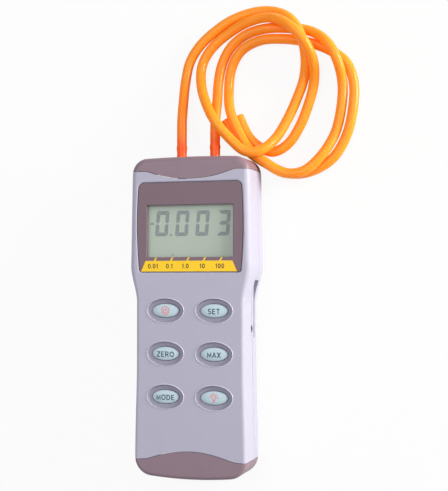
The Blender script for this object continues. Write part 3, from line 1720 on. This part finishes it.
@dataclass
class Readout:
    """The dark segments on the display glass.

    Attributes:
        glass_z: Height of the glass.
        low_y: Foot of the digits.
        high_y: Top of the digits.
        width: Width of a digit.
        bar: Width of a bar.
        gap: Gap between bars.
        cut: How much the outer corners of a digit are cut.
        slant: Lean to the right for each unit of height.
        tip: Length of a bar's point at mid height, as a share of its width.
        lift: How far the segments stand over the glass.
        digits: Each digit and its left edge.
        marks: Middle, width and height of the minus, the point and the cursor.
    """

    glass_z: float = 26.9
    low_y: float = 40.35
    high_y: float = 54.75
    width: float = 7.6
    bar: float = 2.15
    gap: float = 0.13
    cut: float = 0.45
    slant: float = 0.085
    tip: float = 0.3
    lift: float = 0.03
    digits: tuple[tuple[str, float], ...] = (
        ("0", -21.6), ("0", -9.55), ("0", 2.5), ("3", 14.9))
    marks: tuple[tuple[float, float, float, float], ...] = (
        (-23.9, 47.5, 1.9, 1.25), (-12.0, 41.0, 1.15, 1.15), (-9.9, 29.9, 0.9, 0.8))

    def tips(self, end: Array, inwards: Array, across: Array, reach: float) -> list[Array]:
        """Points of one end of a bar: a cut corner, or a blunt point.

        Args:
            end: The end on the bar's middle line.
            inwards: Direction towards the bar's other end.
            across: Half the bar's width, towards the digit's outside.
            reach: How far the corner lies beyond the end, or 0 at mid height.

        Returns:
            The points, from inside to outside.
        """
        if reach:
            return [end - inwards * (reach - self.cut) + across * (1 - self.cut / reach),
                    end - inwards * (reach - self.cut) + across]
        return [end, end + inwards * self.tip * self.bar + across]

    def bar_outline(self, segment: Segment, wide: float, tall: float) -> Array:
        """A bar's outline: mitred at a corner and pointed towards the middle.

        Args:
            segment: Which bar.
            wide: Width of the digit between bar middles.
            tall: Half its height between bar middles.

        Returns:
            Points of shape (n, 2), from the digit's lower left bar middle.
        """
        ends = np.array(segment.value, float)
        corner = np.where(np.abs(ends[:, 1] - 1) > 0.5, self.bar / 2, 0.0)
        start, end = ends * np.array([wide, tall])
        along = (end - start) / np.linalg.norm(end - start)
        across = np.array([-along[1], along[0]]) * self.bar / 2
        first, last = start + along * self.gap, end - along * self.gap
        tip = along * self.bar / 2
        if segment is Segment.MIDDLE:
            return np.array([first, first + tip - across, last - tip - across, last,
                             last - tip + across, first + tip + across])
        return np.array([first + tip - across, *self.tips(first, along, across, corner[0]),
                         *self.tips(last, -along, across, corner[1])[::-1],
                         last - tip - across])

    def build(self) -> bpy.types.Object:
        """Make every lit segment as one thin mesh.

        Returns:
            The readout's object.
        """
        outlines = []
        half_bar = self.bar / 2
        tall = (self.high_y - self.low_y - self.bar) / 2
        wide = self.width - self.bar
        for digit, left in self.digits:
            for segment in DIGIT_SEGMENTS[digit]:
                outlines.append(self.bar_outline(segment, wide, tall)
                                + [left + half_bar, self.low_y + half_bar])
        square = box_corners(-0.5, 0.5, -0.5, 0.5)
        outlines += [square * [width, height] + [x, y] for x, y, width, height in self.marks]
        skin = Skin()
        for outline in outlines:
            leaning = outline.copy()
            leaning[:, 0] += (outline[:, 1] - self.low_y) * self.slant
            z = np.full(len(leaning), self.glass_z + self.lift)
            ring = np.column_stack([leaning, z])
            centre = ring.mean(axis=0, keepdims=True)
            fan = np.stack([ring, np.broadcast_to(centre, ring.shape)], axis=1)
            skin.grid(fan, UP, closed=True)
        return skin.build("display_segments", LCD_DARK, "display_glass")


# Keys

def power_icon() -> Drawing:
    """The power sign about its middle: a ring round a broken ring with a bar."""
    return Drawing(0.42, [ellipse(0, 0, 2.15, 2.25, 0, 360, 40),
                          ellipse(0, -0.15, 1.1, 1.2, 125, 415), chain((0, -0.1), (0, 1.3))])


def lamp_icon() -> Drawing:
    """A lamp about its middle, with its base and rays.

    Returns:
        Its strokes.
    """
    lamp = chain((-0.45, -1.25), (-0.5, -0.6), ellipse(0, 0.4, 1.1, 1.1, 232, -52),
                 (0.5, -0.6), (0.45, -1.25), (-0.45, -1.25))
    base = [chain((-0.5, -1.75), (0.5, -1.75)), chain((-0.35, -2.25), (0.35, -2.25))]
    rays = [chain(ellipse(0, 0.45, 1.75, 1.65, turn, turn, 0),
                  ellipse(0, 0.45, 2.65, 2.45, turn, turn, 0))
            for turn in (-8, 26, 58, 90, 122, 154, 188)]
    return Drawing(0.4, [lamp, *base, *rays])


@dataclass
class Key:
    """One oval key with a crowned top, its printed face and its legend.

    Attributes:
        spot: The key's place and legend.
        half_length: Half the key's length.
        half_width: Half its width.
        top_z: Height of its crown.
        crown: How far the edge lies below the crown.
        print_share: Size of the printed face as a share of the key.
        flange: How far the flange under the case stands out.
        hollow: How far the foot on the switch sheet lies inside the key's side.
        flange_z: Heights of the flange's top and bottom.
        foot_z: Height of the foot.
        size: Height of a word.
        word_drop: How far a word's middle lies under the key's.
        stroke: Width of a word's strokes.
        ink_lift: How far the ink stands over the crown.
    """

    spot: KeySpot
    half_length: float = 8.0
    half_width: float = 3.9
    top_z: float = 29.72
    crown: float = 0.75
    print_share: float = 0.925
    flange: float = 0.9
    hollow: float = 1.6
    flange_z: tuple[float, float] = (27.1, 25.8)
    foot_z: float = 24.35
    size: float = 3.0
    word_drop: float = 0.35
    stroke: float = 0.5
    ink_lift: float = 0.035

    @property
    def body(self) -> str:
        """The body that the key rides on."""
        return "body_" + self.spot.node

    def height(self, points: Array) -> Array:
        """The crown's height, which falls with the fourth power of the oval's share.

        Args:
            points: Points of shape (n, 2).

        Returns:
            Heights of shape (n,).
        """
        share = (((points[:, 0] - self.spot.x) / self.half_length) ** 2
                 + ((points[:, 1] - self.spot.y) / self.half_width) ** 2)
        return self.top_z - self.crown * np.clip(share, 0, 1) ** 2

    def disc(self, reach: float, lift: float, steps: int) -> Array:
        """Rings of the crown from its middle outwards.

        Args:
            reach: How far they go, as a share of the key.
            lift: Distance over the crown.
            steps: How many rings there are.

        Returns:
            A surface of shape (n, steps, 3).
        """
        share = np.linspace(0.001, reach, steps)
        surface = oval(self.spot.x, self.spot.y, self.half_length * share,
                       self.half_width * share, np.zeros(steps))
        surface[:, :, 2] = self.height(surface[:, :, :2].reshape(-1, 2)).reshape(
            surface.shape[:2]) + lift
        return surface

    def cap(self) -> bpy.types.Object:
        """The key's moulded cap with its side and flange.

        Returns:
            The cap's object.
        """
        skin = Skin()
        skin.grid(self.disc(1.0, 0.0, 14), UP, closed=True)
        grow = np.array([0.0, 0.0, self.flange, self.flange, -self.hollow, -self.hollow])
        length = np.append(self.half_length + grow, CLOSED)
        width = np.append(self.half_width + grow, CLOSED)
        high, low = self.flange_z
        z = np.array([self.top_z - self.crown, high, high, low, low, self.foot_z,
                      self.foot_z])
        side = oval(self.spot.x, self.spot.y, length, width, z)
        inside = np.array([self.spot.x, self.spot.y, (self.foot_z + self.top_z) / 2])
        skin.grid(side, side - inside, closed=True)
        cap = skin.build(self.spot.node + "_cap", KEY, "key_rubber", self.body)
        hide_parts(self.spot.node)
        return cap

    def face(self) -> bpy.types.Object:
        """The aqua print over most of the crown.

        Returns:
            The printed face's object.
        """
        skin = Skin()
        skin.grid(self.disc(self.print_share, INK_LIFT, 12), UP, closed=True)
        return skin.build(self.spot.node + "_face", KEY_PRINT, "key_rubber", self.body)

    def legend(self) -> bpy.types.Object:
        """The key's word, or its icon where it has none.

        Returns:
            The legend's object.
        """
        x, y = self.spot.x, self.spot.y
        finish = ICON_INK
        if self.spot.legend:
            drawing, finish = Drawing(self.stroke), KEY_INK
            drawing.write(self.spot.legend, x, y - self.word_drop, self.size)
        else:
            drawing = power_icon() if self.spot.node == "key_power" else lamp_icon()
            drawing.strokes = [line + [x, y] for line in drawing.strokes]
        return drawing.build(self.spot.node + "_legend",
                             lambda points: self.height(points) + self.ink_lift, finish,
                             "key_rubber", self.body)


# Hoses

LEFT_ROUTE = (
    (-10.2, 108, 12.4), (-10.5, 120, 8.9), (-10.5, 132, 5), (-8.5, 143.5, 3.3),
    (-3, 152.5, 3.1), (5.5, 160.2, 3.1), (17, 167.2, 3.1), (30.5, 171, 3.2),
    (42.5, 170.5, 4.4), (53, 165.2, 8.2), (60, 155, 9.9), (62, 143, 6.7), (60.5, 131, 3.7),
    (56, 119, 3.2), (51, 107.5, 4.9), (45, 96.5, 8.5), (37.5, 89.2, 14.2), (28.5, 89, 15.5),
    (20, 96, 15.7), (11.5, 106.5, 18.1), (5, 117.5, 14.1), (0, 129.5, 7.5),
    (-0.5, 141.5, 3.9), (5, 151.4, 3.1), (15.2, 159.3, 3.6), (28, 164.9, 6),
    (41, 166.2, 8.7), (52.5, 161, 14.5), (62.5, 151, 15.8), (67, 140, 9.7),
    (66.3, 128, 3.9), (62.7, 115, 3.2), (57.4, 102.6, 3.1), (50.7, 93.4, 3.1),
    (42, 89.3, 3.1), (33.5, 92.8, 3.3), (26.8, 99.7, 3.1), (21.5, 110.8, 3.1),
)
RIGHT_ROUTE = (
    (9.9, 108, 11.6), (9.8, 120, 7.6), (9.8, 131, 5), (11.7, 142, 3.5), (17.2, 151.8, 3.2),
    (26.5, 158.4, 3.1), (38.5, 161.1, 3.4), (52, 160.5, 3.1), (65, 157.5, 4.5),
    (75.2, 149.7, 9.2), (80.9, 139, 8.6), (82.9, 127, 4.4), (82, 113.5, 3.3),
    (78.5, 99, 3.5), (71.5, 86.1, 7.4), (61.5, 77.2, 9.6), (50, 76.5, 9.3), (38.5, 83, 9.3),
    (29, 91, 9), (23, 101, 8.7), (17.8, 113.5, 8.2), (15.7, 126.5, 3.6), (17.3, 139.1, 3.2),
    (23.3, 149.1, 3.1), (34.5, 154.4, 3.1), (48, 154.5, 3.1), (61.5, 152, 3.1),
    (74.5, 146.9, 3.1), (84.7, 139.1, 3.1), (89.1, 127.5, 3.1), (88.8, 113.5, 3.1),
    (85, 97.5, 3.1), (76.8, 84.4, 3.1), (63.6, 77.2, 3.1), (50.3, 76.8, 3.1),
    (38.5, 82.4, 3.1), (25.3, 91.8, 3.1), (12.9, 108.2, 3.4),
)


@dataclass
class Hose:
    """One rubber hose from its port along its route, open at its free end.

    Attributes:
        node: The hose's node name.
        x: The port's place across.
        route: Points of the route beyond the barb, in millimetres.
        radius: Outer radius.
        bore: Inner radius.
        port_z: Height of the port.
        barb: Length of hose on the barb.
        spacing: Distance between its rings.
        sides: Sides of a ring.
        waves: Height, place and width of the bulge and the pinch at the barb.
        lip: Rows of how far the free end stands out and how far it is turned in.
        open_rings: Rings of the bore that are lined.
    """

    node: str
    x: float
    route: tuple[tuple[float, float, float], ...]
    radius: float = 2.9
    bore: float = 1.5
    port_z: float = 13.0
    barb: float = 11.0
    spacing: float = 0.8
    sides: int = 24
    waves: tuple[tuple[float, float, float], ...] = ((0.27, 6.2, 1.1), (-0.08, 8.6, 0.9))
    lip: tuple[tuple[float, float], ...] = ((0.12, 0.12), (0.16, 0.3))
    open_rings: int = 11

    def centreline(self) -> Array:
        """The hose's smooth line, at an even spacing.

        Each span is a cubic in its share t: half of twice its start, plus the
        chord of the neighbours times t, plus two terms in t squared and cubed
        that bring it to its end with the slope of the next span.

        Returns:
            Points of shape (n, 3).
        """
        start = np.array([self.x, TOP_Y + GAP, self.port_z])
        points = np.array([start, start + [0, self.barb, 0], *self.route])
        points = np.concatenate([[2 * points[0] - points[1]], points,
                                 [2 * points[-1] - points[-2]]])
        a, b, c, d = (points[i:len(points) - 3 + i][:, None, :] for i in range(4))
        t = np.linspace(0, 1, 24, endpoint=False)[None, :, None]
        line = 0.5 * (2 * b + (c - a) * t + (2 * a - 5 * b + 4 * c - d) * t ** 2
                      + (3 * b - a - 3 * c + d) * t ** 3)
        line = np.concatenate([line.reshape(-1, 3), points[-2:-1]])
        travelled = np.concatenate([[0], np.cumsum(np.linalg.norm(np.diff(line, axis=0),
                                                                  axis=1))])
        even = np.linspace(0, travelled[-1], int(travelled[-1] / self.spacing) + 1)
        return np.stack([np.interp(even, travelled, line[:, k]) for k in range(3)], axis=1)

    def radius_at(self, travelled: Array) -> Array:
        """Outer radius along the hose, with a bell curve for each wave at the barb.

        Args:
            travelled: Distances from the port.

        Returns:
            Radii of the same shape.
        """
        return self.radius + sum(height * np.exp(-((travelled - place) / width) ** 2)
                                 for height, place, width in self.waves)

    def build(self) -> bpy.types.Object:
        """Make the hose as one tube with its wall turned in at the free end.

        The frame at each point keeps one axis as level as it can: that axis is
        the tangent crossed with the upward direction.

        Returns:
            The hose's object.
        """
        line = self.centreline()
        step = np.linalg.norm(np.diff(line, axis=0), axis=1)
        travelled = np.concatenate([[0], np.cumsum(step)])
        tangent = np.gradient(line, axis=0)
        tangent /= np.linalg.norm(tangent, axis=1, keepdims=True)
        level = np.cross(tangent, UP)
        level /= np.linalg.norm(level, axis=1, keepdims=True)
        lift = np.cross(level, tangent)
        radius = self.radius_at(travelled)
        last = len(line) - 1
        stand, turned = np.array(self.lip).T
        inner = np.arange(last, last - self.open_rings, -1)
        rows = np.concatenate([np.arange(len(line)), [last] * len(stand), inner])
        radii = np.concatenate([radius, self.radius - turned,
                                np.full(len(inner), self.bore)])
        radii[last] = self.radius
        push = np.concatenate([np.zeros(len(line)), stand, np.zeros(len(inner))])
        angle = np.linspace(0, 2 * math.pi, self.sides + 1)[None, :, None]
        centre = line[rows] + tangent[rows] * push[:, None]
        outward = (np.cos(angle) * level[rows][:, None, :]
                   + np.sin(angle) * lift[rows][:, None, :])
        surface = centre[:, None, :] + outward * radii[:, None, None]
        count = surface.shape[1]
        n = len(rows)
        index = np.arange(n * count).reshape(n, count)
        quads = np.stack([index[:-1, :-1], index[:-1, 1:], index[1:, 1:], index[1:, :-1]],
                         axis=-1).reshape(-1, 4)
        mesh = bpy.data.meshes.new(self.node + "_tube")
        mesh.from_pydata((surface.reshape(-1, 3) * MILLIMETRE).tolist(), [], quads.tolist())
        layer = mesh.uv_layers.new(name="along")
        share = np.zeros((n, count, 2))
        share[:, :, 0] = (travelled[rows] / travelled[-1])[:, None]
        share[:, :, 1] = np.linspace(0, 1, count)[None, :]
        corners = np.zeros(len(mesh.loops), dtype=np.int64)
        mesh.loops.foreach_get("vertex_index", corners)
        layer.data.foreach_set("uv", share.reshape(-1, 2)[corners].ravel())
        shell = bmesh.new()
        shell.from_mesh(mesh)
        bmesh.ops.remove_doubles(shell, verts=shell.verts, dist=1e-7)
        bmesh.ops.recalc_face_normals(shell, faces=shell.faces)
        shell.to_mesh(mesh)
        shell.free()
        mesh.shade_smooth()
        obj = add_object(self.node + "_tube", mesh)
        mesh.materials.append(HOSE.material())
        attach(obj, METER)
        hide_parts(self.node)
        return obj


# Surroundings

@dataclass(frozen=True)
class Lamp:
    """A square area light that looks at the meter.

    Attributes:
        name: Its name.
        place: Its place in metres.
        size: Its edge in metres.
        power: Its power in watts.
        colour: Its colour.
        aim: Where it looks, in metres.
    """

    name: str
    place: tuple[float, float, float]
    size: float
    power: float
    colour: Colour = WHITE
    aim: tuple[float, float, float] = (0.0, 0.03, 0.01)

    def build(self) -> bpy.types.Object:
        """Add the light.

        Returns:
            The light's object.
        """
        data = bpy.data.lights.new(self.name, "AREA")
        data.size, data.energy, data.color = self.size, self.power, self.colour
        lamp = add_object(self.name, data)
        lamp.location = self.place
        view = Vector(self.aim) - Vector(self.place)
        lamp.rotation_euler = view.to_track_quat("-Z", "Y").to_euler()
        return lamp


@dataclass
class Studio:
    """Camera, floor and soft lights.

    Attributes:
        sensor: Width of the camera's frame in millimetres.
        lens: Focal length in millimetres.
        place: The camera's place in millimetres.
        turns: Turns of the view about its x, y and z, in radians.
        floor_half: Half the floor's width in metres.
        floor_colour: The floor's colour.
        floor_white: Share of plain white that the camera sees on the floor.
        world_strength: Strength of the pale world.
        lamps: A low key light from the right and a soft overhead.
    """

    sensor: float = 36.0
    lens: float = 81.7882
    place: tuple[float, float, float] = (197.8, 16.2, 626.3)
    turns: tuple[float, float, float] = (-0.031, -0.289, 0.010)
    floor_half: float = 3.0
    floor_colour: Colour = (0.86, 0.86, 0.87)
    floor_white: float = 0.9
    world_strength: float = 0.36
    lamps: tuple[Lamp, ...] = (
        Lamp("key_light", (1.35, 0.45, 0.24), 0.7, 34.0, (1.0, 0.97, 0.87)),
        Lamp("overhead_light", (-0.15, 0.35, 1.5), 1.4, 11.0))

    def camera(self) -> bpy.types.Object:
        """Set up the camera at the photograph's angle.

        Returns:
            The camera's object.
        """
        data = bpy.data.cameras.new("camera")
        data.lens = self.lens
        data.sensor_width = self.sensor
        data.clip_start, data.clip_end = 0.01, 20
        camera = add_object("camera", data)
        x, y, z = self.turns
        view = (Matrix.Rotation(z, 3, "Z") @ Matrix.Rotation(y, 3, "Y")
                @ Matrix.Rotation(x, 3, "X"))
        camera.matrix_world = (Matrix.Translation(Vector(self.place) * MILLIMETRE)
                               @ view.transposed().to_4x4())
        bpy.context.scene.camera = camera
        return camera

    def floor(self) -> bpy.types.Object:
        """A wide white floor that keeps a faint shadow.

        Returns:
            The floor's object.
        """
        mesh = bpy.data.meshes.new("floor")
        half = self.floor_half
        mesh.from_pydata([(x, y, 0) for x, y in box_corners(-half, half, -half, half)], [],
                         [(0, 1, 2, 3)])
        floor = add_object("floor", mesh)
        material = bpy.data.materials.new("white_floor")
        material.use_nodes = True
        tree = material.node_tree
        shader = tree.nodes["Principled BSDF"]
        shader.inputs["Base Color"].default_value = (*self.floor_colour, 1.0)
        shader.inputs["Roughness"].default_value = 0.9
        shader.inputs["Specular IOR Level"].default_value = 0.1
        glow = tree.nodes.new("ShaderNodeEmission")
        glow.inputs["Strength"].default_value = 1.0
        rays = tree.nodes.new("ShaderNodeLightPath")
        seen = tree.nodes.new("ShaderNodeMath")
        seen.operation = "MULTIPLY"
        seen.inputs[1].default_value = self.floor_white
        mix = tree.nodes.new("ShaderNodeMixShader")
        tree.links.new(rays.outputs["Is Camera Ray"], seen.inputs[0])
        tree.links.new(seen.outputs[0], mix.inputs["Fac"])
        tree.links.new(shader.outputs[0], mix.inputs[1])
        tree.links.new(glow.outputs[0], mix.inputs[2])
        tree.links.new(mix.outputs[0], tree.nodes["Material Output"].inputs["Surface"])
        mesh.materials.append(material)
        return floor

    def lights(self) -> None:
        """Add the lamps, and a pale world that the camera sees as plain white."""
        for lamp in self.lamps:
            lamp.build()
        world = bpy.data.worlds.new("world")
        world.use_nodes = True
        tree = world.node_tree
        background = tree.nodes["Background"]
        background.inputs["Strength"].default_value = self.world_strength
        white = tree.nodes.new("ShaderNodeBackground")
        for node in (background, white):
            node.inputs["Color"].default_value = (*WHITE, 1.0)
        rays = tree.nodes.new("ShaderNodeLightPath")
        mix = tree.nodes.new("ShaderNodeMixShader")
        tree.links.new(rays.outputs["Is Camera Ray"], mix.inputs["Fac"])
        tree.links.new(background.outputs[0], mix.inputs[1])
        tree.links.new(white.outputs[0], mix.inputs[2])
        tree.links.new(mix.outputs[0], tree.nodes["World Output"].inputs["Surface"])
        bpy.context.scene.world = world


def dress_cad(nodes: dict) -> None:
    """Give each CAD node that still shows its finish.

    Args:
        nodes: The frame's nodes by name.
    """
    for finish, names in CAD_FINISHES.items():
        for name in names:
            nodes[name].data.materials.clear()
            nodes[name].data.materials.append(finish.material())
            log.info("dressed %s with %s", name, finish.name)


def main() -> None:
    """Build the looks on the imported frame."""
    logging.basicConfig(level=logging.INFO, format="%(message)s")
    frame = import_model()
    bpy.context.scene.view_settings.view_transform = "Standard"
    studio = Studio()
    studio.camera()
    for hose in (Hose("left_hose", -10.1, LEFT_ROUTE), Hose("right_hose", 10.1, RIGHT_ROUTE)):
        log.info("made %s", hose.build().name)
    studio.floor()
    studio.lights()
    dress_cad(frame["nodes"])
    for part in (FrontCase(), RearCase(), EndCap(End.PORTS), EndCap(End.FOOT),
                 PocketSeal()):
        log.info("made %s", part.build().name)
    bezel = Bezel()
    for obj in (bezel.plate(), bezel.strip(), *bezel.numbers(), Readout().build()):
        log.info("made %s", obj.name)
    for spot in KEY_SPOTS:
        key = Key(spot)
        for obj in (key.cap(), key.face(), key.legend()):
            log.info("made %s", obj.name)


if __name__ == "__main__":
    main()
